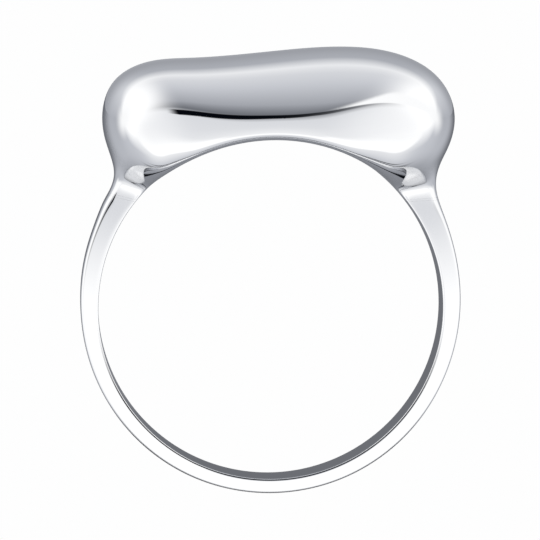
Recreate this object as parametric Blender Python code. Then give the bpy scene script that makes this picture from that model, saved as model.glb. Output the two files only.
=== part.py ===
"""A signet ring with a blank pillow head, modelled from the pieces it is assembled from.

The finger hole's centre is the origin and its axis is Y. +Z points up through the middle
of the head, -Y is the front. Sizes below are in millimetres; the mesh is built in metres.

Every piece that follows the finger is lofted through sections. A section lies in a plane
that holds the Y direction: it stands on the finger surface at a foot angle, measured from
the top of the ring towards +X, and reaches out to a point of the ring's outline.
"""

import math

import bmesh
import bpy
import numpy as np

MM = 0.001

# The finger side and the band.
FINGER_RADIUS = 8.75
BAND_HALF_WIDTH = 1.10
BAND_EDGE_HALF_WIDTH = 0.98
BAND_FULLNESS = 7.0
BAND_BULGE = 0.50

# Every section's lower corners, between the finger surface and the fullest point.
LOWER_FULLNESS = 2.4

# The hollow head and the plate that closes it on the finger side.
WALL = 0.62
LIP_THICKNESS = 0.62
OPENING_HALF_LENGTH = 5.80
OPENING_HALF_WIDTH = 3.90
OPENING_FULLNESS = 2.5
PLATE_THICKNESS = 0.50
PLATE_SEAM_WIDTH = 0.20
PLATE_SEAM_THICKNESS = 0.40
VENT_RADIUS = 0.35
VENT_ANGLE = 20.0

# The two joints between head and band, and the gap that touching pieces keep.
NECK_LEFT = -51.0
NECK_RIGHT = 51.5
NECK_SEAM_THICKNESS = 0.12
GAP = 0.015

# How finely each piece is cut.
HEAD_SECTIONS = 56
BAND_SECTIONS = 60
CAVITY_SECTIONS = 22
SECTION_POINTS = 36
OPENING_STEPS = 24
FLAT_STEPS = 3
LOWER_STEPS = 6
UPPER_STEPS = 9


def band_station(angle, thickness):
    """A station of the plain band: a low rounded rectangle standing square on the finger."""
    turn = math.radians(angle)
    radius = FINGER_RADIUS + thickness
    return (
        angle,
        radius * math.sin(turn),
        radius * math.cos(turn),
        BAND_HALF_WIDTH,
        BAND_EDGE_HALF_WIDTH,
        BAND_BULGE,
        BAND_FULLNESS,
    )


# Foot angle, outline x and z, half width at the fullest, half width on the finger surface,
# height of the fullest point as a share of the section's height, fullness of its crown.
STATIONS = [
    band_station(-180, 0.77),
    band_station(-155, 0.79),
    band_station(-130, 0.82),
    band_station(-108, 0.85),
    band_station(-90, 0.91),
    band_station(-74, 1.03),
    (-60.5, -8.76, 4.66, 1.12, 1.00, 0.50, 6.0),
    (-54.5, -8.42, 5.45, 1.13, 1.01, 0.50, 5.0),
    (-49.0, -8.08, 6.10, 1.17, 1.03, 0.50, 4.5),
    (-45.5, -7.92, 6.75, 1.42, 1.07, 0.50, 3.6),
    (-43.2, -8.06, 7.60, 2.28, 1.28, 0.50, 2.6),
    (-41.2, -8.36, 8.55, 3.17, 1.65, 0.50, 2.2),
    (-38.3, -8.50, 9.80, 3.98, 2.35, 0.51, 2.2),
    (-33.5, -7.93, 11.45, 4.58, 3.20, 0.51, 2.3),
    (-26.5, -6.40, 12.40, 5.02, 3.95, 0.46, 2.4),
    (-16.0, -4.00, 12.66, 5.30, 4.35, 0.33, 2.4),
    (0.0, 0.00, 12.98, 5.42, 4.50, 0.25, 2.2),
    (14.5, 3.65, 13.22, 5.40, 4.45, 0.32, 2.1),
    (25.2, 6.52, 12.84, 5.15, 4.05, 0.48, 2.1),
    (33.2, 8.57, 11.61, 4.70, 3.15, 0.54, 2.2),
    (38.5, 9.34, 9.80, 4.05, 2.20, 0.52, 2.2),
    (41.8, 9.03, 8.15, 3.08, 1.55, 0.50, 2.2),
    (44.0, 8.57, 7.10, 2.14, 1.24, 0.50, 2.6),
    (46.3, 8.43, 6.42, 1.41, 1.07, 0.50, 3.6),
    (49.8, 8.47, 5.80, 1.17, 1.03, 0.50, 4.5),
    (54.5, 8.66, 5.15, 1.13, 1.01, 0.50, 5.0),
    (61.0, 8.93, 4.40, 1.12, 1.00, 0.50, 6.0),
    band_station(74, 1.05),
    band_station(90, 0.93),
    band_station(108, 0.85),
    band_station(130, 0.82),
    band_station(155, 0.79),
]


class ClosedSpline:
    """A smooth closed curve through rows of values, by a periodic cubic spline."""

    def __init__(self, knots, rows, period):
        self.knots = np.asarray(knots, float)
        self.rows = np.asarray(rows, float)
        self.period = period
        count = len(self.knots)
        ends = np.append(self.knots[1:], self.knots[0] + period)
        self.steps = ends - self.knots
        self.nexts = np.roll(self.rows, -1, axis=0)
        slopes = (self.nexts - self.rows) / self.steps[:, None]
        matrix = np.zeros((count, count))
        for i in range(count):
            before = self.steps[i - 1]
            after = self.steps[i]
            matrix[i, i - 1] += before
            matrix[i, i] += 2 * (before + after)
            matrix[i, (i + 1) % count] += after
        self.bends = np.linalg.solve(matrix, 6 * (slopes - np.roll(slopes, 1, axis=0)))

    def at(self, place):
        place = (place - self.knots[0]) % self.period + self.knots[0]
        i = min(int(np.searchsorted(self.knots, place, side="right")) - 1, len(self.knots) - 1)
        step = self.steps[i]
        right = (place - self.knots[i]) / step
        left = 1 - right
        bend = (left**3 - left) * self.bends[i]
        bend = bend + (right**3 - right) * self.bends[(i + 1) % len(self.knots)]
        return left * self.rows[i] + right * self.nexts[i] + bend * step * step / 6


class RingForm:
    """The ring's outer form, read at any place along its outline."""

    def __init__(self):
        table = np.array(STATIONS, float)
        outline = table[:, 1:3]
        steps = np.linalg.norm(np.roll(outline, -1, axis=0) - outline, axis=1)
        self.places = np.append(0, np.cumsum(steps)[:-1])
        self.length = float(steps.sum())
        even_turn = self.places / self.length * 360 - 180
        foot_lead = (table[:, 0] - even_turn)[:, None]
        self.outline = ClosedSpline(self.places, outline, self.length)
        self.foot_lead = ClosedSpline(self.places, foot_lead, self.length)
        self.shape = ClosedSpline(self.places, table[:, 3:], self.length)

    def foot_angle(self, place):
        return float(self.foot_lead.at(place)[0]) + place / self.length * 360 - 180

    def place_of(self, angle):
        """The place along the outline whose section stands at this foot angle."""
        low = 0.0
        high = self.length
        for _ in range(50):
            middle = (low + high) / 2
            if self.foot_angle(middle) < angle:
                low = middle
            else:
                high = middle
        return (low + high) / 2

    def section(self, place, inset=0.0):
        """Foot, direction, height and shape values of the section, its crown let in by inset."""
        turn = math.radians(self.foot_angle(place))
        foot = FINGER_RADIUS * np.array([math.sin(turn), math.cos(turn)])
        top = self.outline.at(place)
        if inset:
            run = self.outline.at(place + 0.05) - self.outline.at(place - 0.05)
            run = run / np.linalg.norm(run)
            top = top + inset * np.array([run[1], -run[0]])
        reach = top - foot
        height = float(np.linalg.norm(reach))
        return foot, reach / height, height, self.shape.at(place)


def control_loop(half_width, edge, bulge, fullness):
    """Control points of a closed section, as (y, share of height), from the middle of its foot."""
    side = [(edge * i / FLAT_STEPS, 0.0) for i in range(FLAT_STEPS)]
    for i in range(LOWER_STEPS):
        turn = 0.5 * math.pi * i / LOWER_STEPS
        out = math.sin(turn) ** (2 / LOWER_FULLNESS)
        up = 1 - math.cos(turn) ** (2 / LOWER_FULLNESS)
        side.append((edge + (half_width - edge) * out, bulge * up))
    for i in range(UPPER_STEPS):
        turn = 0.5 * math.pi * i / UPPER_STEPS
        out = math.cos(turn) ** (2 / fullness)
        up = math.sin(turn) ** (2 / fullness)
        side.append((half_width * out, bulge + (1 - bulge) * up))
    side.append((0.0, 1.0))
    return np.array(side + [(-y, share) for y, share in reversed(side[1:-1])])


def smooth_loop(control, count):
    """Points of the closed uniform cubic B-spline that the control points make."""
    size = len(control)
    place = np.arange(count) / count * size
    index = np.floor(place).astype(int)
    t = (place - index)[:, None]
    weights = (
        (1 - t) ** 3,
        3 * t**3 - 6 * t**2 + 4,
        -3 * t**3 + 3 * t**2 + 3 * t + 1,
        t**3,
    )
    return sum(w * control[(index + i - 1) % size] for i, w in enumerate(weights)) / 6


def placed(foot, way, loop, heights):
    """Section points (y, share) set in space, at the given heights above the finger surface."""
    flat = foot + np.outer(heights, way)
    return [(x, y, z) for (x, z), y in zip(flat, loop[:, 0])]


def ring_of_points(form, place):
    """The outer section at a place, as points in space."""
    foot, way, height, shape = form.section(place)
    loop = smooth_loop(control_loop(*shape), SECTION_POINTS)
    return placed(foot, way, loop, height * loop[:, 1])


def cavity_points(form, place):
    """The section of the hollow inside the head."""
    foot, way, height, shape = form.section(place, WALL)
    half_width, edge, bulge, fullness = shape
    inner = (half_width - WALL, max(edge - 0.3, 0.8), bulge, fullness)
    loop = smooth_loop(control_loop(*inner), SECTION_POINTS)
    return placed(foot, way, loop, LIP_THICKNESS + (height - LIP_THICKNESS) * loop[:, 1])


def shifted(points, plane_points, distance):
    """Points moved square to the plane that plane_points lie in, towards a growing angle."""
    a, b, c = (np.array(plane_points[i]) for i in (0, 6, 14))
    normal = np.cross(b - a, c - a)
    normal = normal / np.linalg.norm(normal)
    clockwise = np.array([a[2], 0.0, -a[0]])
    if normal @ clockwise < 0:
        normal = -normal
    return [tuple(np.array(p) + distance * normal) for p in points]


def new_object(name, vertices, faces, material=None):
    mesh = bpy.data.meshes.new(name)
    mesh.from_pydata([[MM * value for value in v] for v in vertices], [], faces)
    work = bmesh.new()
    work.from_mesh(mesh)
    bmesh.ops.recalc_face_normals(work, faces=work.faces)
    work.to_mesh(mesh)
    work.free()
    mesh.shade_smooth()
    if material is not None:
        mesh.materials.append(material)
    obj = bpy.data.objects.new(name, mesh)
    bpy.context.scene.collection.objects.link(obj)
    return obj


def loft(name, sections, material=None):
    """A closed solid through equal-sized sections, with a flat cap on each end."""
    size = len(sections[0])
    vertices = [point for section in sections for point in section]
    faces = [list(range(size)), [len(vertices) - size + i for i in range(size)]]
    for row in range(len(sections) - 1):
        for i in range(size):
            j = (i + 1) % size
            faces.append([row * size + i, row * size + j, (row + 1) * size + j, (row + 1) * size + i])
    return new_object(name, vertices, faces, material)


def on_finger(arc, y, rise):
    """The point at this arc length along the finger surface from the top, raised above it."""
    turn = arc / FINGER_RADIUS
    radius = FINGER_RADIUS + rise
    return (radius * math.sin(turn), y, radius * math.cos(turn))


def opening_outline(margin):
    """(arc, y) points of the head's finger-side opening, let in by margin: the +Y side."""
    points = []
    for i in range(OPENING_STEPS + 1):
        turn = math.pi * i / OPENING_STEPS
        along = abs(math.cos(turn)) ** (2 / OPENING_FULLNESS)
        across = abs(math.sin(turn)) ** (2 / OPENING_FULLNESS)
        arc = math.copysign(along, math.cos(turn)) * (OPENING_HALF_LENGTH - margin)
        points.append((arc, across * (OPENING_HALF_WIDTH - margin)))
    return points


def plate(name, margin, low, high, material=None):
    """A curved plate that fills the opening's outline between two heights above the finger."""
    side = opening_outline(margin)
    columns = side[1:-1]
    vertices = []
    for rise in (low, high):
        vertices.append(on_finger(side[0][0], 0.0, rise))
        vertices.extend(on_finger(arc, y, rise) for arc, y in columns)
        vertices.extend(on_finger(arc, -y, rise) for arc, y in columns)
        vertices.append(on_finger(side[-1][0], 0.0, rise))
    count = len(columns)
    layer = 2 * count + 2
    left = [1 + i for i in range(count)]
    right = [1 + count + i for i in range(count)]
    loop = [0] + left + [layer - 1] + right[::-1]
    faces = []
    for start in (0, layer):
        faces.append([start, start + left[0], start + right[0]])
        faces.append([start + layer - 1, start + left[-1], start + right[-1]])
        for i in range(count - 1):
            strip = (left[i], left[i + 1], right[i + 1], right[i])
            faces.append([start + index for index in strip])
    for i, this in enumerate(loop):
        following = loop[(i + 1) % len(loop)]
        faces.append([this, following, layer + following, layer + this])
    return new_object(name, vertices, faces, material)


def plate_seam(name, outer_margin, inner_margin, low, high, material):
    """The closed ring of solder between the plate's edge and the opening's wall."""
    loops = []
    for margin in (outer_margin, inner_margin):
        side = opening_outline(margin)
        loops.append(side + [(arc, -y) for arc, y in reversed(side[1:-1])])
    size = len(loops[0])
    vertices = []
    for loop, rise in ((loops[0], low), (loops[1], low), (loops[1], high), (loops[0], high)):
        vertices.extend(on_finger(arc, y, rise) for arc, y in loop)
    faces = []
    for ring in range(4):
        across = (ring + 1) % 4
        for i in range(size):
            j = (i + 1) % size
            faces.append([ring * size + i, ring * size + j, across * size + j, across * size + i])
    return new_object(name, vertices, faces, material)


def vent_pin(name, angle):
    """A short prism square to the finger surface, for cutting one vent hole."""
    sides = 14
    turn = math.radians(angle)
    out = np.array([math.sin(turn), 0.0, math.cos(turn)])
    along = np.array([math.cos(turn), 0.0, -math.sin(turn)])
    rings = []
    for radius in (FINGER_RADIUS - 0.6, FINGER_RADIUS + PLATE_THICKNESS + 0.6):
        ring = []
        for i in range(sides):
            spin = 2 * math.pi * i / sides
            point = radius * out + VENT_RADIUS * math.cos(spin) * along
            ring.append((point[0], VENT_RADIUS * math.sin(spin), point[2]))
        rings.append(ring)
    return loft(name, rings)


def cut(obj, cutter):
    cutter.hide_render = True
    cutter.display_type = "WIRE"
    modifier = obj.modifiers.new("cut_" + cutter.name, "BOOLEAN")
    modifier.operation = "DIFFERENCE"
    modifier.solver = "EXACT"
    modifier.object = cutter


def metal(name, colour, roughness):
    material = bpy.data.materials.new(name)
    material.use_nodes = True
    shader = material.node_tree.nodes["Principled BSDF"]
    shader.inputs["Base Color"].default_value = (*colour, 1.0)
    shader.inputs["Metallic"].default_value = 1.0
    shader.inputs["Roughness"].default_value = roughness
    return material


def spaced(start, end, count):
    return [start + (end - start) * i / (count - 1) for i in range(count)]


def build():
    for obj in list(bpy.data.objects):
        bpy.data.objects.remove(obj)

    form = RingForm()
    left = form.place_of(NECK_LEFT)
    right = form.place_of(NECK_RIGHT)
    left_joint = ring_of_points(form, left)
    right_joint = ring_of_points(form, right)
    seam_half = NECK_SEAM_THICKNESS / 2
    clear = seam_half + GAP

    polished = metal("head_metal", (0.90, 0.91, 0.93), 0.06)
    band_metal = metal("shank_metal", (0.90, 0.91, 0.93), 0.07)
    plate_metal = metal("plate_metal", (0.88, 0.89, 0.91), 0.16)
    solder = metal("solder_metal", (0.84, 0.85, 0.87), 0.20)

    # The head: the outer form between the necks, hollowed out and open to the finger.
    middle = [ring_of_points(form, p) for p in spaced(left + 0.28, right - 0.28, HEAD_SECTIONS)]
    head_sections = [shifted(left_joint, left_joint, clear)] + middle
    head_sections.append(shifted(right_joint, right_joint, -clear))
    head = loft("head_shell", head_sections, polished)
    hollow_from = form.place_of(-38.0)
    hollow_to = form.place_of(38.2)
    hollow = [cavity_points(form, p) for p in spaced(hollow_from, hollow_to, CAVITY_SECTIONS)]
    cut(head, loft("cutter_hollow", hollow))
    cut(head, plate("cutter_opening", 0.0, -0.8, LIP_THICKNESS + 0.4))

    # The finger plate that closes the head, with two vents, and the solder round its edge.
    plate_margin = PLATE_SEAM_WIDTH + 2 * GAP
    finger_plate = plate("finger_plate", plate_margin, 0.0, PLATE_THICKNESS, plate_metal)
    cut(finger_plate, vent_pin("cutter_vent_left", -VENT_ANGLE))
    cut(finger_plate, vent_pin("cutter_vent_right", VENT_ANGLE))
    inner_margin = GAP + PLATE_SEAM_WIDTH
    plate_seam("plate_solder_seam", GAP, inner_margin, 0.01, PLATE_SEAM_THICKNESS, solder)

    # The band, from the right neck round the bottom of the ring to the left neck.
    round_bottom = spaced(right + 0.28, form.length + left - 0.28, BAND_SECTIONS)
    band_sections = [shifted(right_joint, right_joint, clear)]
    band_sections += [ring_of_points(form, p) for p in round_bottom]
    band_sections.append(shifted(left_joint, left_joint, -clear))
    loft("shank", band_sections, band_metal)

    # The solder that joins the band's ends to the head.
    for name, joint in (("solder_seam_left", left_joint), ("solder_seam_right", right_joint)):
        faces = [shifted(joint, joint, -seam_half), shifted(joint, joint, seam_half)]
        loft(name, faces, solder)


build()
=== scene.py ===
"""The looks of a blank signet ring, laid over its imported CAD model.

The frame is the CAD's: the finger hole's centre is the origin and its axis is Y, +Z points
up through the middle of the head and -Y is the front. Shapes are worked out in millimetres
and made in metres. Each piece follows the same form as its CAD node, cut far more finely,
because mirror-polished silver shows every facet.
"""

import math

import bmesh
import bpy
import numpy as np
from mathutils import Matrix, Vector


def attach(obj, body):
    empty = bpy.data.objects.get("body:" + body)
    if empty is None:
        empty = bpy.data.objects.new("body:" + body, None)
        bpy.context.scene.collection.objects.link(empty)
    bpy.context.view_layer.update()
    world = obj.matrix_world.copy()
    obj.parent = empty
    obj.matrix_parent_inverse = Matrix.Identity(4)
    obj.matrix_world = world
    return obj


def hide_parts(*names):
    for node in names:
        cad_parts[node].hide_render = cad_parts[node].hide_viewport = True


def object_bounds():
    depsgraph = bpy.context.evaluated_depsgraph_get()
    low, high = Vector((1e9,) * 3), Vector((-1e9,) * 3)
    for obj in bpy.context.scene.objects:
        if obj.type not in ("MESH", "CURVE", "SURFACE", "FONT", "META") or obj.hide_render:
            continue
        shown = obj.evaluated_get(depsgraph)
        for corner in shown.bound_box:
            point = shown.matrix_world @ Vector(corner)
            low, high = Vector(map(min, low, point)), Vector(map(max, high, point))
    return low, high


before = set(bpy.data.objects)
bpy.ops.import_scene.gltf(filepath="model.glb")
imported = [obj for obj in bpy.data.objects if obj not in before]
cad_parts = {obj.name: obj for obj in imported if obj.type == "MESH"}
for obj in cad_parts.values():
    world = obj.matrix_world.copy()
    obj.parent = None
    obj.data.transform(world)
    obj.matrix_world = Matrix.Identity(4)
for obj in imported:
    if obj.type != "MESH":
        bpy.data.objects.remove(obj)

CAD_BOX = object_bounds()
MM = 0.001

# The finger side and the band.
FINGER_RADIUS = 8.75
BAND_HALF_WIDTH = 1.10
BAND_EDGE_HALF_WIDTH = 0.98
BAND_FULLNESS = 7.0
BAND_BULGE = 0.50
LOWER_FULLNESS = 2.4

# The hollow head and the plate that closes it on the finger side.
WALL = 0.62
LIP_THICKNESS = 0.62
OPENING_HALF_LENGTH = 5.80
OPENING_HALF_WIDTH = 3.90
OPENING_FULLNESS = 2.5
CAVITY_EDGE_INSET = 0.3
CAVITY_EDGE_LEAST = 0.8
OPENING_CUT_BELOW = -0.8
OPENING_CUT_ABOVE = LIP_THICKNESS + 0.4
PLATE_THICKNESS = 0.50
PLATE_SEAM_WIDTH = 0.20
PLATE_SEAM_START = 0.01
PLATE_SEAM_THICKNESS = 0.40
VENT_RADIUS = 0.35
VENT_ANGLE = 20.0
VENT_CUT_MARGIN = 0.6
GAP = 0.015
NECK_GAP = 0.003

# The two joints between head and band.
NECK_LEFT = -51.0
NECK_RIGHT = 51.5
NECK_SEAM_THICKNESS = 0.12
HOLLOW_LEFT = -38.0
HOLLOW_RIGHT = 38.2

# How finely each piece is cut.
SECTION_SPACING = 0.06
SECTION_POINTS = 180
CAVITY_SPACING = 0.25
CAVITY_POINTS = 72
OPENING_STEPS = 96
TANGENT_STEP = 0.05
FLAT_STEPS = 3
LOWER_STEPS = 6
UPPER_STEPS = 9
VENT_SIDES = 40

# Edges sharper than these angles, in degrees, are shaded sharp.
HEAD_SHARP_ANGLE = 32
BAND_SHARP_ANGLE = 50

# The fine surfaces stand a hair outside the CAD's facets, so every mesh made here is drawn in
# by this much. The studio's cards and floor go with them, where it makes no difference.
FINE_SCALE = 0.9993

# The camera, and how the studio is turned with it.
VIEW_AZIMUTH = -3.5
VIEW_ELEVATION = 6.0
VIEW_DISTANCE = 0.160
VIEW_AIM = Vector((0.0, 0.0, 0.00185))
VIEW_WIDTH = 0.0275
SENSOR_WIDTH = 36.0
CLIP_START = 0.001

# Cards close round the band: name, centre, inner and outer radius and the softness of each
# rim in millimetres, how far off its top the ring starts and over what it fades in, in
# degrees, and its display grey.
RING_CARDS = (
    ("face_reflector", (0.7, -12.0, -1.3), (2.5, 17.0), (1.5, 3.0), 56.0, 34.0, 262),
    ("hole_card", (0.0, 6.4, 0.0), (0.0, 9.6), (0.1, 0.1), 0.0, 1.0, 146),
    ("side_card", (0.0, 6.2, 0.0), (9.35, 12.0), (0.15, 1.5), 78.0, 22.0, 12),
    ("base_card", (0.0, 1.5, 0.0), (9.75, 24.0), (0.10, 8.0), 116.0, 26.0, 12),
    ("outer_line_card", (0.0, -2.0, 0.0), (10.9, 18.0), (0.3, 3.0), 116.0, 26.0, 10),
    ("inner_line_card", (0.0, -2.0, 0.0), (6.6, 8.35), (0.8, 0.1), 95.0, 30.0, 10),
)


def band_station(angle, thickness):
    """A station of the plain band: a low rounded rectangle standing square on the finger."""
    turn = math.radians(angle)
    radius = FINGER_RADIUS + thickness
    return (
        angle,
        radius * math.sin(turn),
        radius * math.cos(turn),
        BAND_HALF_WIDTH,
        BAND_EDGE_HALF_WIDTH,
        BAND_BULGE,
        BAND_FULLNESS,
    )


# Foot angle, outline x and z, half width at the fullest, half width on the finger surface,
# height of the fullest point as a share of the section's height, fullness of its crown.
STATIONS = [
    band_station(-180, 0.77),
    band_station(-155, 0.79),
    band_station(-130, 0.82),
    band_station(-108, 0.85),
    band_station(-90, 0.91),
    band_station(-74, 1.03),
    (-60.5, -8.76, 4.66, 1.12, 1.00, 0.50, 6.0),
    (-54.5, -8.42, 5.45, 1.13, 1.01, 0.50, 5.0),
    (-49.0, -8.08, 6.10, 1.17, 1.03, 0.50, 4.5),
    (-45.5, -7.92, 6.75, 1.42, 1.07, 0.50, 3.6),
    (-43.2, -8.06, 7.60, 2.28, 1.28, 0.50, 2.6),
    (-41.2, -8.36, 8.55, 3.17, 1.65, 0.50, 2.2),
    (-38.3, -8.50, 9.80, 3.98, 2.35, 0.51, 2.2),
    (-33.5, -7.93, 11.45, 4.58, 3.20, 0.51, 2.3),
    (-26.5, -6.40, 12.40, 5.02, 3.95, 0.46, 2.4),
    (-16.0, -4.00, 12.66, 5.30, 4.35, 0.33, 2.4),
    (0.0, 0.00, 12.98, 5.42, 4.50, 0.25, 2.2),
    (14.5, 3.65, 13.22, 5.40, 4.45, 0.32, 2.1),
    (25.2, 6.52, 12.84, 5.15, 4.05, 0.48, 2.1),
    (33.2, 8.57, 11.61, 4.70, 3.15, 0.54, 2.2),
    (38.5, 9.34, 9.80, 4.05, 2.20, 0.52, 2.2),
    (41.8, 9.03, 8.15, 3.08, 1.55, 0.50, 2.2),
    (44.0, 8.57, 7.10, 2.14, 1.24, 0.50, 2.6),
    (46.3, 8.43, 6.42, 1.41, 1.07, 0.50, 3.6),
    (49.8, 8.47, 5.80, 1.17, 1.03, 0.50, 4.5),
    (54.5, 8.66, 5.15, 1.13, 1.01, 0.50, 5.0),
    (61.0, 8.93, 4.40, 1.12, 1.00, 0.50, 6.0),
    band_station(74, 1.05),
    band_station(90, 0.93),
    band_station(108, 0.85),
    band_station(130, 0.82),
    band_station(155, 0.79),
]


class ClosedSpline:
    """A smooth closed curve through rows of values, by a periodic cubic spline."""

    def __init__(self, knots, rows, period):
        self.knots = np.asarray(knots, float)
        self.rows = np.asarray(rows, float)
        self.period = period
        count = len(self.knots)
        ends = np.append(self.knots[1:], self.knots[0] + period)
        self.steps = ends - self.knots
        self.nexts = np.roll(self.rows, -1, axis=0)
        slopes = (self.nexts - self.rows) / self.steps[:, None]
        matrix = np.zeros((count, count))
        for i in range(count):
            before = self.steps[i - 1]
            after = self.steps[i]
            matrix[i, i - 1] += before
            matrix[i, i] += 2 * (before + after)
            matrix[i, (i + 1) % count] += after
        self.bends = np.linalg.solve(matrix, 6 * (slopes - np.roll(slopes, 1, axis=0)))

    def at(self, place):
        place = (place - self.knots[0]) % self.period + self.knots[0]
        i = min(int(np.searchsorted(self.knots, place, side="right")) - 1, len(self.knots) - 1)
        step = self.steps[i]
        right = (place - self.knots[i]) / step
        left = 1 - right
        bend = (left**3 - left) * self.bends[i]
        bend = bend + (right**3 - right) * self.bends[(i + 1) % len(self.knots)]
        return left * self.rows[i] + right * self.nexts[i] + bend * step * step / 6


class RingForm:
    """The ring's outer form, read at any place along its outline."""

    def __init__(self):
        table = np.array(STATIONS, float)
        outline = table[:, 1:3]
        steps = np.linalg.norm(np.roll(outline, -1, axis=0) - outline, axis=1)
        self.places = np.append(0, np.cumsum(steps)[:-1])
        self.length = float(steps.sum())
        even_turn = self.places / self.length * 360 - 180
        foot_lead = (table[:, 0] - even_turn)[:, None]
        self.outline = ClosedSpline(self.places, outline, self.length)
        self.foot_lead = ClosedSpline(self.places, foot_lead, self.length)
        self.shape = ClosedSpline(self.places, table[:, 3:], self.length)

    def foot_angle(self, place):
        return float(self.foot_lead.at(place)[0]) + place / self.length * 360 - 180

    def place_of(self, angle):
        """The place along the outline whose section stands at this foot angle."""
        low = 0.0
        high = self.length
        for _ in range(50):
            middle = (low + high) / 2
            if self.foot_angle(middle) < angle:
                low = middle
            else:
                high = middle
        return (low + high) / 2

    def section(self, place, inset=0.0):
        """Foot, direction, height and shape values of the section, its crown let in by inset."""
        turn = math.radians(self.foot_angle(place))
        foot = FINGER_RADIUS * np.array([math.sin(turn), math.cos(turn)])
        top = self.outline.at(place)
        if inset:
            run = self.outline.at(place + TANGENT_STEP) - self.outline.at(place - TANGENT_STEP)
            run = run / np.linalg.norm(run)
            top = top + inset * np.array([run[1], -run[0]])
        reach = top - foot
        height = float(np.linalg.norm(reach))
        return foot, reach / height, height, self.shape.at(place)


def control_loop(half_width, edge, bulge, fullness):
    """Control points of a closed section, as (y, share of height), from the middle of its foot."""
    side = [(edge * i / FLAT_STEPS, 0.0) for i in range(FLAT_STEPS)]
    for i in range(LOWER_STEPS):
        turn = 0.5 * math.pi * i / LOWER_STEPS
        out = math.sin(turn) ** (2 / LOWER_FULLNESS)
        up = 1 - math.cos(turn) ** (2 / LOWER_FULLNESS)
        side.append((edge + (half_width - edge) * out, bulge * up))
    for i in range(UPPER_STEPS):
        turn = 0.5 * math.pi * i / UPPER_STEPS
        out = math.cos(turn) ** (2 / fullness)
        up = math.sin(turn) ** (2 / fullness)
        side.append((half_width * out, bulge + (1 - bulge) * up))
    side.append((0.0, 1.0))
    return np.array(side + [(-y, share) for y, share in reversed(side[1:-1])])


def smooth_loop(control, count):
    """Points of the closed uniform cubic B-spline that the control points make."""
    size = len(control)
    place = np.arange(count) / count * size
    index = np.floor(place).astype(int)
    t = (place - index)[:, None]
    weights = (
        (1 - t) ** 3,
        3 * t**3 - 6 * t**2 + 4,
        -3 * t**3 + 3 * t**2 + 3 * t + 1,
        t**3,
    )
    return sum(w * control[(index + i - 1) % size] for i, w in enumerate(weights)) / 6


def placed(foot, way, loop, heights):
    """Section points (y, share) set in space, at the given heights above the finger surface."""
    flat = foot + np.outer(heights, way)
    return np.column_stack((flat[:, 0], loop[:, 0], flat[:, 1]))


def outer_section(form, place):
    foot, way, height, shape = form.section(place)
    loop = smooth_loop(control_loop(*shape), SECTION_POINTS)
    return placed(foot, way, loop, height * loop[:, 1])


def cavity_section(form, place):
    """The section of the hollow inside the head."""
    foot, way, height, shape = form.section(place, WALL)
    half_width, edge, bulge, fullness = shape
    inner_edge = max(edge - CAVITY_EDGE_INSET, CAVITY_EDGE_LEAST)
    inner = (half_width - WALL, inner_edge, bulge, fullness)
    loop = smooth_loop(control_loop(*inner), CAVITY_POINTS)
    return placed(foot, way, loop, LIP_THICKNESS + (height - LIP_THICKNESS) * loop[:, 1])


def spaced(start, end, spacing):
    """Places from start to end, no further apart than spacing."""
    count = math.ceil((end - start) / spacing) + 1
    return [start + (end - start) * i / (count - 1) for i in range(count)]


def new_object(name, vertices, faces, material=None):
    mesh = bpy.data.meshes.new(name)
    mesh.from_pydata((np.asarray(vertices) * MM * FINE_SCALE).tolist(), [], faces)
    work = bmesh.new()
    work.from_mesh(mesh)
    bmesh.ops.recalc_face_normals(work, faces=work.faces)
    work.to_mesh(mesh)
    work.free()
    mesh.shade_smooth()
    if material is not None:
        mesh.materials.append(material)
    obj = bpy.data.objects.new(name, mesh)
    bpy.context.scene.collection.objects.link(obj)
    return obj


def loft(name, sections, material=None):
    """A closed solid through equal-sized sections, with a flat cap on each end."""
    size = len(sections[0])
    vertices = np.concatenate(sections)
    last = len(vertices) - size
    faces = [list(range(size)), list(range(last, last + size))]
    for this in range(0, last, size):
        following = this + size
        for i in range(size):
            j = (i + 1) % size
            faces.append([this + i, this + j, following + j, following + i])
    return new_object(name, vertices, faces, material)


def on_finger(arc, y, rise):
    """The point at this arc length along the finger surface from the top, raised above it."""
    turn = arc / FINGER_RADIUS
    radius = FINGER_RADIUS + rise
    return (radius * math.sin(turn), y, radius * math.cos(turn))


def opening_outline(margin):
    """(arc, y) points of the head's finger-side opening, let in by margin: the +Y side."""
    points = []
    for i in range(OPENING_STEPS + 1):
        turn = math.pi * i / OPENING_STEPS
        along = abs(math.cos(turn)) ** (2 / OPENING_FULLNESS)
        across = abs(math.sin(turn)) ** (2 / OPENING_FULLNESS)
        arc = math.copysign(along, math.cos(turn)) * (OPENING_HALF_LENGTH - margin)
        points.append((arc, across * (OPENING_HALF_WIDTH - margin)))
    return points


def plate(name, margin, low, high, material=None):
    """A curved plate that fills the opening's outline between two heights above the finger."""
    side = opening_outline(margin)
    columns = side[1:-1]
    vertices = []
    for rise in (low, high):
        vertices.append(on_finger(side[0][0], 0.0, rise))
        vertices.extend(on_finger(arc, y, rise) for arc, y in columns)
        vertices.extend(on_finger(arc, -y, rise) for arc, y in columns)
        vertices.append(on_finger(side[-1][0], 0.0, rise))
    count = len(columns)
    layer = 2 * count + 2
    left = [1 + i for i in range(count)]
    right = [1 + count + i for i in range(count)]
    loop = [0] + left + [layer - 1] + right[::-1]
    faces = []
    for start in (0, layer):
        faces.append([start, start + left[0], start + right[0]])
        faces.append([start + layer - 1, start + left[-1], start + right[-1]])
        for i in range(count - 1):
            strip = (left[i], left[i + 1], right[i + 1], right[i])
            faces.append([start + index for index in strip])
    for i, this in enumerate(loop):
        following = loop[(i + 1) % len(loop)]
        faces.append([this, following, layer + following, layer + this])
    return new_object(name, vertices, faces, material)


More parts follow.
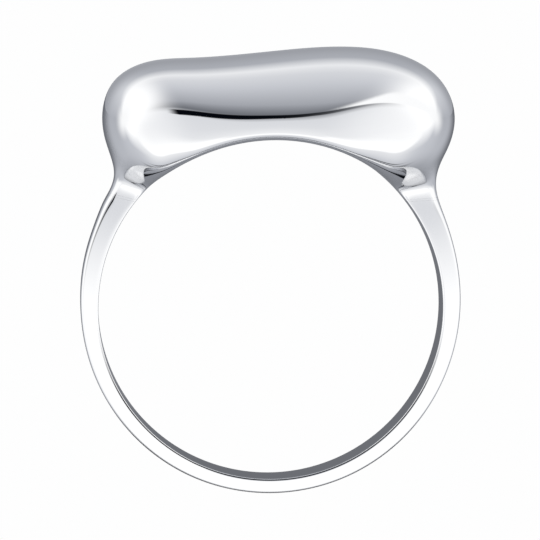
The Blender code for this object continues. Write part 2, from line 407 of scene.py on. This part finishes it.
def plate_seam(name, outer_margin, inner_margin, low, high, material):
    """The closed ring of solder between the plate's edge and the opening's wall."""
    loops = []
    for margin in (outer_margin, inner_margin):
        side = opening_outline(margin)
        loops.append(side + [(arc, -y) for arc, y in reversed(side[1:-1])])
    size = len(loops[0])
    vertices = []
    for loop, rise in ((loops[0], low), (loops[1], low), (loops[1], high), (loops[0], high)):
        vertices.extend(on_finger(arc, y, rise) for arc, y in loop)
    faces = []
    for corner in range(4):
        this = corner * size
        following = (corner + 1) % 4 * size
        for i in range(size):
            j = (i + 1) % size
            faces.append([this + i, this + j, following + j, following + i])
    return new_object(name, vertices, faces, material)


def vent_pin(name, angle):
    """A short prism square to the finger surface, for cutting one vent hole."""
    turn = math.radians(angle)
    out = np.array([math.sin(turn), 0.0, math.cos(turn)])
    along = np.array([math.cos(turn), 0.0, -math.sin(turn)])
    rings = []
    low = FINGER_RADIUS - VENT_CUT_MARGIN
    high = FINGER_RADIUS + PLATE_THICKNESS + VENT_CUT_MARGIN
    for radius in (low, high):
        ring = []
        for i in range(VENT_SIDES):
            spin = 2 * math.pi * i / VENT_SIDES
            point = radius * out + VENT_RADIUS * math.cos(spin) * along
            ring.append((point[0], VENT_RADIUS * math.sin(spin), point[2]))
        rings.append(np.array(ring))
    return loft(name, rings)


def carve(obj, cutters):
    """Cuts each cutter out of the piece for good, and removes the cutter."""
    for cutter in cutters:
        modifier = obj.modifiers.new(cutter.name, "BOOLEAN")
        modifier.operation = "DIFFERENCE"
        modifier.solver = "EXACT"
        modifier.object = cutter
    graph = bpy.context.evaluated_depsgraph_get()
    carved = bpy.data.meshes.new_from_object(obj.evaluated_get(graph))
    obj.modifiers.clear()
    obj.data = carved
    for cutter in cutters:
        bpy.data.objects.remove(cutter)


def crisp(obj, angle):
    """Smooth shading, broken at edges sharper than angle."""
    obj.data.shade_smooth()
    obj.data.set_sharp_from_angle(angle=math.radians(angle))


# ---- Materials -------------------------------------------------------------------------


# How fine the marks on the silver are, in features per metre.
HAZE_SCALE = 420.0
CLOUD_SCALE = 90.0
PORE_SCALE = 5200.0
SWIRL_SCALE = 2600.0
HAIRLINE_SCALE = 2400.0

# How hairlines are stretched out, and the three ways they run.
HAIRLINE_STRETCH = (1.0, 0.02, 1.0)
HAIRLINE_TURNS = ((0.3, 0.9, 0.2), (1.1, -0.4, 0.7), (-0.6, 0.2, 1.4))
SWIRL_STRETCH = (1.0, 0.35, 1.0)

# The share of haze in the wear, how far wear spreads the roughness and clouds the tone, the
# least roughness, and how much of its colour silver keeps in a pore.
HAZE_SHARE = 0.6
ROUGHNESS_SPREAD = 0.9
TONE_SPREAD = 0.012
LEAST_ROUGHNESS = 0.004
PORE_TONE = 0.55


class Nodes:
    """A short way to add and join shader nodes."""

    def __init__(self, tree):
        self.tree = tree

    def add(self, kind, **settings):
        node = self.tree.nodes.new(kind)
        for key, value in settings.items():
            setattr(node, key, value)
        return node

    def join(self, source, target):
        if isinstance(source, (int, float, tuple)):
            target.default_value = source
        else:
            self.tree.links.new(source, target)

    def math(self, operation, *values):
        node = self.add("ShaderNodeMath", operation=operation)
        for socket, value in zip(node.inputs, values):
            self.join(value, socket)
        return node.outputs[0]

    def ease(self, value, start, end, low=0.0, high=1.0, smooth=True):
        """From low to high as value goes from start to end, smoothly or straight."""
        kind = "SMOOTHSTEP" if smooth else "LINEAR"
        node = self.add("ShaderNodeMapRange", interpolation_type=kind)
        for name, number in (
            ("From Min", start),
            ("From Max", end),
            ("To Min", low),
            ("To Max", high),
        ):
            node.inputs[name].default_value = number
        self.join(value, node.inputs["Value"])
        return node.outputs[0]

    def mix(self, factor, first, second):
        node = self.add("ShaderNodeMix", data_type="RGBA")
        shown = [socket for socket in node.inputs if socket.enabled]
        for socket, value in zip(shown, (factor, first, second)):
            self.join(value, socket)
        return next(socket for socket in node.outputs if socket.enabled)


def noise(nodes, position, scale, detail, stretch=(1, 1, 1), turn=(0, 0, 0)):
    """Noise from -0.5 to 0.5 over the piece; scale is in features per metre."""
    mapping = nodes.add("ShaderNodeMapping")
    mapping.inputs["Scale"].default_value = stretch
    mapping.inputs["Rotation"].default_value = turn
    nodes.join(position, mapping.inputs["Vector"])
    texture = nodes.add("ShaderNodeTexNoise")
    texture.inputs["Scale"].default_value = scale
    texture.inputs["Detail"].default_value = detail
    nodes.join(mapping.outputs[0], texture.inputs["Vector"])
    return nodes.math("SUBTRACT", texture.outputs[0], 0.5)


def silver(name, colour, edge, roughness, swirl, hairlines, pits=0.0):
    """Polished silver: a mirror with faint buffing swirls, stray hairlines and soft haze.

    edge is how much of its light the metal keeps at a glancing angle. swirl and hairlines are
    the depths of those marks in metres; pits darkens tiny casting pores, which only solder
    shows.
    """
    material = bpy.data.materials.new(name)
    material.use_nodes = True
    nodes = Nodes(material.node_tree)
    shader = material.node_tree.nodes["Principled BSDF"]
    shader.inputs["Metallic"].default_value = 1.0
    shader.inputs["Specular Tint"].default_value = (edge, edge, edge, 1.0)
    position = nodes.add("ShaderNodeTexCoord").outputs["Object"]

    haze = noise(nodes, position, HAZE_SCALE, 3.0)
    cloud = noise(nodes, position, CLOUD_SCALE, 2.0)
    wear = nodes.math("ADD", nodes.math("MULTIPLY", haze, HAZE_SHARE), cloud)
    spread = nodes.math("MULTIPLY_ADD", wear, roughness * ROUGHNESS_SPREAD, roughness)
    nodes.join(nodes.math("MAXIMUM", spread, LEAST_ROUGHNESS), shader.inputs["Roughness"])

    shade = nodes.math("MULTIPLY_ADD", cloud, TONE_SPREAD, 1.0)
    tone = nodes.add("ShaderNodeVectorMath", operation="SCALE")
    tone.inputs[0].default_value = colour
    nodes.join(shade, tone.inputs["Scale"])
    base = tone.outputs[0]
    if pits:
        pore = nodes.ease(noise(nodes, position, PORE_SCALE, 2.0), 0.14, 0.24)
        dark = tuple(PORE_TONE * value for value in colour) + (1.0,)
        base = nodes.mix(nodes.math("MULTIPLY", pore, pits), base, dark)
    nodes.join(base, shader.inputs["Base Color"])

    swirls = noise(nodes, position, SWIRL_SCALE, 3.0, stretch=SWIRL_STRETCH)
    lines = []
    for turn in HAIRLINE_TURNS:
        streak = noise(nodes, position, HAIRLINE_SCALE, 1.0, HAIRLINE_STRETCH, turn)
        lines.append(nodes.ease(streak, 0.17, 0.22))
    scratch = nodes.math("MAXIMUM", nodes.math("MAXIMUM", lines[0], lines[1]), lines[2])
    bump = nodes.add("ShaderNodeBump")
    bump.inputs["Strength"].default_value = 1.0
    bump.inputs["Distance"].default_value = 1.0
    low = nodes.math("MULTIPLY", swirls, swirl)
    cut_in = nodes.math("MULTIPLY", scratch, -hairlines)
    nodes.join(nodes.math("ADD", low, cut_in), bump.inputs["Height"])
    nodes.join(bump.outputs[0], shader.inputs["Normal"])
    return material


# ---- The ring --------------------------------------------------------------------------


def replace(piece, node):
    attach(piece, "root")
    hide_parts(node)


def build_ring():
    form = RingForm()
    left = form.place_of(NECK_LEFT)
    right = form.place_of(NECK_RIGHT)
    solder_half = NECK_SEAM_THICKNESS / 2
    half_seam = solder_half + NECK_GAP

    head_silver = silver("polished_head_silver", (0.955, 0.960, 0.970), 0.72, 0.022, 0.6e-7, 1.0e-7)
    band_silver = silver("polished_band_silver", (0.955, 0.960, 0.970), 0.55, 0.024, 0.5e-7, 1.2e-7)
    plate_silver = silver("worn_plate_silver", (0.930, 0.935, 0.945), 0.70, 0.085, 2.5e-7, 6.0e-7)
    neck_solder = silver(
        "dressed_neck_solder", (0.950, 0.955, 0.965), 0.60, 0.026, 0.6e-7, 1.2e-7, 0.1
    )
    seam_solder = silver(
        "dressed_seam_solder", (0.900, 0.900, 0.905), 0.70, 0.120, 3.0e-7, 5.0e-7, 0.5
    )

    # The head: the outer form between the necks, hollowed out and open to the finger.
    places = spaced(left + half_seam, right - half_seam, SECTION_SPACING)
    head = loft("polished_head", [outer_section(form, p) for p in places], head_silver)
    hollow_places = spaced(form.place_of(HOLLOW_LEFT), form.place_of(HOLLOW_RIGHT), CAVITY_SPACING)
    hollow = loft("hollow", [cavity_section(form, p) for p in hollow_places])
    carve(head, [hollow, plate("opening", 0.0, OPENING_CUT_BELOW, OPENING_CUT_ABOVE)])
    crisp(head, HEAD_SHARP_ANGLE)
    replace(head, "head_shell")

    # The plate that closes the head, with two vents, and the solder round its edge.
    finger_plate = plate(
        "vented_finger_plate", PLATE_SEAM_WIDTH + 2 * GAP, 0.0, PLATE_THICKNESS, plate_silver
    )
    carve(finger_plate, [vent_pin("vent_left", -VENT_ANGLE), vent_pin("vent_right", VENT_ANGLE)])
    crisp(finger_plate, HEAD_SHARP_ANGLE)
    replace(finger_plate, "finger_plate")
    seam = plate_seam(
        "plate_solder",
        GAP,
        GAP + PLATE_SEAM_WIDTH,
        PLATE_SEAM_START,
        PLATE_SEAM_THICKNESS,
        seam_solder,
    )
    crisp(seam, HEAD_SHARP_ANGLE)
    replace(seam, "plate_solder_seam")

    # The band, from the right neck round the bottom of the ring to the left neck.
    places = spaced(right + half_seam, form.length + left - half_seam, SECTION_SPACING)
    band = loft("polished_band", [outer_section(form, p) for p in places], band_silver)
    crisp(band, BAND_SHARP_ANGLE)
    replace(band, "shank")

    # The solder that joins the band's ends to the head, dressed flush with both.
    for side, joint in (("left", left), ("right", right)):
        places = spaced(joint - solder_half, joint + solder_half, SECTION_SPACING)
        sections = [outer_section(form, p) for p in places]
        solder = loft("neck_solder_" + side, sections, neck_solder)
        crisp(solder, BAND_SHARP_ANGLE)
        replace(solder, "solder_seam_" + side)


# ---- The studio ------------------------------------------------------------------------


def grey(level):
    """A cool studio grey from its display level, as linear colour.

    255 is white, and a light that is brighter than white has a level above it.
    """
    cool = min(max((255 - level) / 60, 0.0), 1.0)
    shown = (level - 3 * cool, level - 0.5 * cool, level + 6 * cool)
    linear = [((value / 255 + 0.055) / 1.055) ** 2.4 for value in shown]
    return (*linear, 1.0)


# The light tent, in display greys by pitch: 0 is the front horizon, 90 overhead, 180 behind
# and -90 underneath. Its middle is a soft grey sweep. From there it turns into brighter walls,
# and then into white end walls, by how far off its centre it is to the left or right. All
# these angles are in degrees.
TENT_MIDDLE = (
    (-180, 110), (-120, 150), (-90, 210), (-65, 246), (-25, 226), (-4, 222), (9, 112),
    (30, 168), (80, 204), (105, 218), (122, 238), (140, 175), (180, 170),
)
TENT_WALLS = ((-180, 180), (-75, 200), (-42, 262), (122, 262), (142, 212), (180, 180))
TENT_CENTRE = 1.0
WALLS_START = 10.0
WALLS_FULL = 44.0
END_WALL_START = 58.0
END_WALL_FULL = 88.0

# A long black card on the front horizon, tilted: its ends as (side angle, pitch), half its
# height at each end, and over which side angles it fades in on the left and out on the right.
CARD_LEFT = (-15.0, -2.0)
CARD_RIGHT = (9.0, 7.6)
CARD_HALF_HEIGHTS = (4.9, 2.7)
CARD_FADE_IN = (-22.0, -15.0)
CARD_FADE_OUT = (4.0, 28.0)

# How softly the black card's long edges fade, from outside to inside, and its grey.
CARD_SOFTNESS = (-0.9, 0.7)
CARD_LEVEL = 8

# A white card at the upper right: its left edge leans out by this much a degree of pitch.
# The fades are of its left edge, and of its foot and top by how far above the foot they are.
WHITE_CARD_FOOT = 13.0
WHITE_CARD_EDGE = 13.5
WHITE_CARD_LEAN = 0.33
WHITE_CARD_EDGE_FADE = (-3.5, 4.0)
WHITE_CARD_FOOT_FADE = (-3.0, 1.0)
WHITE_CARD_TOP_FADE = (32.0, 57.0)
WHITE_CARD_LEVEL = 257

# How much brighter the tent is behind, to make up for the silver's loss at glancing angles,
# and where that sets in and where it is full, if 1 is straight ahead and -1 straight behind.
REAR_GAIN = 1.20
REAR_START = -0.35
REAR_FULL = -0.95

END_WALL_LEVEL = 255
BACKDROP_LEVEL = 254

# The floor: how far below the ring it lies and half its length, in millimetres.
FLOOR_DROP = 1.5
FLOOR_HALF = 600.0


def build_world(scene):
    """The light tent, seen in reflections, and the plain pale backdrop that the camera sees."""
    world = bpy.data.worlds.new("light_tent")
    scene.world = world
    world.use_nodes = True
    world.node_tree.nodes.clear()
    nodes = Nodes(world.node_tree)
    position = nodes.add("ShaderNodeTexCoord").outputs["Generated"]
    turned = nodes.add("ShaderNodeVectorRotate", rotation_type="Z_AXIS")
    nodes.join(position, turned.inputs["Vector"])
    turned.inputs["Angle"].default_value = -math.radians(VIEW_AZIMUTH)
    axes = nodes.add("ShaderNodeSeparateXYZ")
    nodes.join(turned.outputs[0], axes.inputs[0])
    across, back, up = axes.outputs
    front = nodes.math("MULTIPLY", back, -1.0)
    pitch = nodes.math("MULTIPLY", nodes.math("ARCTAN2", up, front), 180 / math.pi)
    side = nodes.math("MULTIPLY", nodes.math("ARCSINE", across), 180 / math.pi)

    def sweep(stops):
        """The grey at this pitch, through (pitch, level) stops."""
        node = nodes.add("ShaderNodeValToRGB")
        nodes.join(nodes.ease(pitch, -180, 180, smooth=False), node.inputs[0])
        elements = node.color_ramp.elements
        elements.remove(elements[1])
        for i, (angle, level) in enumerate(stops):
            place = (angle + 180) / 360
            element = elements[0] if i == 0 else elements.new(place)
            element.position = place
            element.color = grey(level)
        return node.outputs[0]

    off_centre = nodes.math("ABSOLUTE", nodes.math("SUBTRACT", side, TENT_CENTRE))
    walls = nodes.ease(off_centre, WALLS_START, WALLS_FULL)
    colour = nodes.mix(walls, sweep(TENT_MIDDLE), sweep(TENT_WALLS))
    end_wall = nodes.ease(off_centre, END_WALL_START, END_WALL_FULL)
    colour = nodes.mix(end_wall, colour, grey(END_WALL_LEVEL))

    rise = nodes.math("SUBTRACT", pitch, WHITE_CARD_FOOT)
    edge = nodes.math("MULTIPLY_ADD", rise, WHITE_CARD_LEAN, WHITE_CARD_EDGE)
    white = nodes.ease(nodes.math("SUBTRACT", side, edge), *WHITE_CARD_EDGE_FADE)
    white = nodes.math("MULTIPLY", white, nodes.ease(rise, *WHITE_CARD_FOOT_FADE))
    white = nodes.math("MULTIPLY", white, nodes.ease(rise, *WHITE_CARD_TOP_FADE, 1.0, 0.0))
    colour = nodes.mix(white, colour, grey(WHITE_CARD_LEVEL))

    left, left_pitch = CARD_LEFT
    right, right_pitch = CARD_RIGHT
    middle = nodes.ease(side, left, right, left_pitch, right_pitch, smooth=False)
    half = nodes.ease(side, left, right, *CARD_HALF_HEIGHTS, smooth=False)
    off_middle = nodes.math("ABSOLUTE", nodes.math("SUBTRACT", pitch, middle))
    black = nodes.ease(nodes.math("SUBTRACT", half, off_middle), *CARD_SOFTNESS)
    black = nodes.math("MULTIPLY", black, nodes.ease(side, *CARD_FADE_IN))
    black = nodes.math("MULTIPLY", black, nodes.ease(side, *CARD_FADE_OUT, 1.0, 0.0))
    colour = nodes.mix(black, colour, grey(CARD_LEVEL))

    tent = nodes.add("ShaderNodeBackground")
    nodes.join(colour, tent.inputs["Color"])
    strength = nodes.ease(front, REAR_START, REAR_FULL, 1.0, REAR_GAIN)
    nodes.join(strength, tent.inputs["Strength"])
    backdrop = nodes.add("ShaderNodeBackground")
    backdrop.inputs["Color"].default_value = grey(BACKDROP_LEVEL)
    seen = nodes.add("ShaderNodeMixShader")
    nodes.join(nodes.add("ShaderNodeLightPath").outputs["Is Camera Ray"], seen.inputs[0])
    nodes.join(tent.outputs[0], seen.inputs[1])
    nodes.join(backdrop.outputs[0], seen.inputs[2])
    output = nodes.add("ShaderNodeOutputWorld")
    nodes.join(seen.outputs[0], output.inputs[0])


def build_camera(scene):
    azimuth = math.radians(VIEW_AZIMUTH)
    elevation = math.radians(VIEW_ELEVATION)
    away = Vector((
        math.sin(azimuth) * math.cos(elevation),
        -math.cos(azimuth) * math.cos(elevation),
        math.sin(elevation),
    ))
    camera = bpy.data.cameras.new("camera")
    camera.sensor_width = SENSOR_WIDTH
    camera.lens = camera.sensor_width * VIEW_DISTANCE / VIEW_WIDTH
    camera.clip_start = CLIP_START
    obj = bpy.data.objects.new("camera", camera)
    obj.location = VIEW_AIM + VIEW_DISTANCE * away
    obj.rotation_euler = (-away).to_track_quat("-Z", "Y").to_euler()
    scene.collection.objects.link(obj)
    scene.camera = obj


def glowing_square(name, centre, half, axes, level):
    """A square that glows evenly and casts no shadow, and its nodes, glow and shader output.

    axes are the two directions that it lies along.
    """
    material = bpy.data.materials.new(name)
    material.use_nodes = True
    material.node_tree.nodes.clear()
    nodes = Nodes(material.node_tree)
    glow = nodes.add("ShaderNodeEmission")
    glow.inputs["Color"].default_value = grey(level)
    output = nodes.add("ShaderNodeOutputMaterial")
    nodes.join(glow.outputs[0], output.inputs[0])
    first, second = half * np.array(axes, float)
    middle = np.array(centre, float)
    corners = [middle - first - second, middle + first - second]
    corners += [middle + first + second, middle - first + second]
    obj = new_object(name, corners, [[0, 1, 2, 3]], material)
    obj.visible_shadow = False
    obj.visible_diffuse = False
    return obj, nodes, glow, output


def ring_card(name, centre, radii, rims, start, fade, level):
    """A flat ring that stands across the finger axis, seen only in the silver.

    Going down either side from its top, it is open up to start degrees and fades in over
    the next fade degrees. Its inner and outer edge are softened over the widths rims.
    """
    x, _, z = centre
    upright = ((1, 0, 0), (0, 0, 1))
    obj, nodes, glow, output = glowing_square(name, centre, radii[1], upright, level)
    obj.visible_camera = False
    axes = nodes.add("ShaderNodeSeparateXYZ")
    nodes.join(nodes.add("ShaderNodeTexCoord").outputs["Object"], axes.inputs[0])
    right = nodes.math("MULTIPLY_ADD", axes.outputs[0], 1 / MM, -x)
    up = nodes.math("MULTIPLY_ADD", axes.outputs[2], 1 / MM, -z)
    square = nodes.math("MULTIPLY_ADD", right, right, nodes.math("MULTIPLY", up, up))
    radius = nodes.math("SQRT", square)
    turn = nodes.math("ABSOLUTE", nodes.math("ARCTAN2", right, up))
    shown = nodes.ease(turn, math.radians(start), math.radians(start + fade))
    inner = nodes.ease(radius, radii[0], radii[0] + rims[0])
    outer = nodes.ease(radius, radii[1] - rims[1], radii[1], 1.0, 0.0)
    shown = nodes.math("MULTIPLY", shown, nodes.math("MULTIPLY", inner, outer))
    mixed = nodes.add("ShaderNodeMixShader")
    nodes.join(shown, mixed.inputs[0])
    nodes.join(nodes.add("ShaderNodeBsdfTransparent").outputs[0], mixed.inputs[1])
    nodes.join(glow.outputs[0], mixed.inputs[2])
    nodes.join(mixed.outputs[0], output.inputs[0])


def build_cards():
    """The cards close round the band: one white before its face, the others grey and black."""
    for row in RING_CARDS:
        ring_card(*row)


def build_floor():
    """A pale floor just under the ring, whose shade the mirror finish doesn't pick up."""
    centre = (0, 0, CAD_BOX[0][2] / MM - FLOOR_DROP)
    flat = ((1, 0, 0), (0, 1, 0))
    floor, *_ = glowing_square("floor", centre, FLOOR_HALF, flat, BACKDROP_LEVEL)
    floor.visible_glossy = False


def main():
    scene = bpy.context.scene
    scene.view_settings.view_transform = "Standard"
    build_ring()
    build_world(scene)
    build_camera(scene)
    build_cards()
    build_floor()


main()
